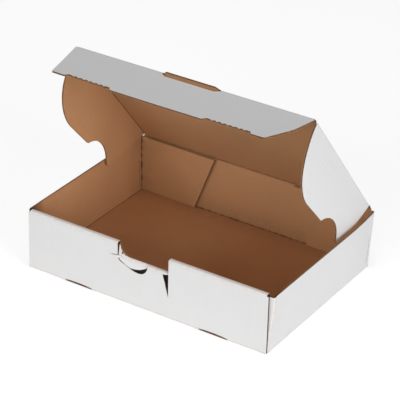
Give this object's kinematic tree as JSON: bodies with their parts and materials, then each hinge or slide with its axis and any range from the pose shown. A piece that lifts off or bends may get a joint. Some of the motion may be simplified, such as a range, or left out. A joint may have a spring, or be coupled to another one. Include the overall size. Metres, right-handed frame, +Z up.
{
  "type": "corrugated mailer box",
  "caption": "Die-cut corrugated mailer box with a rolled-over front wall, a hinged lid with ears and a tuck flap, shown part open.",
  "frame": {"origin": "centre of the tray's outside bottom face", "axes": "+Z up, -Y towards the front wall where the box opens, +X to the right seen from the front; the lid is hinged along X at the back"},
  "size_m": [0.218, 0.157, 0.1722],
  "materials": {
    "board": "matte white outer liner, brown kraft inner liner and fluted edges"
  },
  "bodies": {
    "tray": {"tray": "board"},
    "lid": {"lid": "board"},
    "tuck_flap": {"tuck_flap": "board"},
    "left_ear": {"left_ear": "board"},
    "right_ear": {"right_ear": "board"}
  },
  "joints": [
    {"name": "lid_hinge", "type": "hinge", "parent": "tray", "child": "lid", "pos_m": [0, 0.0778, 0.053], "axis": [-1, 0, 0], "range_deg": [-47.3, 129.7]},
    {"name": "tuck_flap_fold", "type": "hinge", "parent": "lid", "child": "tuck_flap", "pos_m": [0, -0.01814, 0.16856], "axis": [1, 0, 0], "range_deg": [-48.5, 51.5]},
    {"name": "left_ear_fold", "type": "hinge", "parent": "lid", "child": "left_ear", "pos_m": [-0.1052, -0.01868, 0.16812], "axis": [0, -0.6388, 0.7694], "range_deg": [0, 80]},
    {"name": "right_ear_fold", "type": "hinge", "parent": "lid", "child": "right_ear", "pos_m": [0.1052, -0.01868, 0.16812], "axis": [0, 0.6388, -0.7694], "range_deg": [0, 80]}
  ]
}
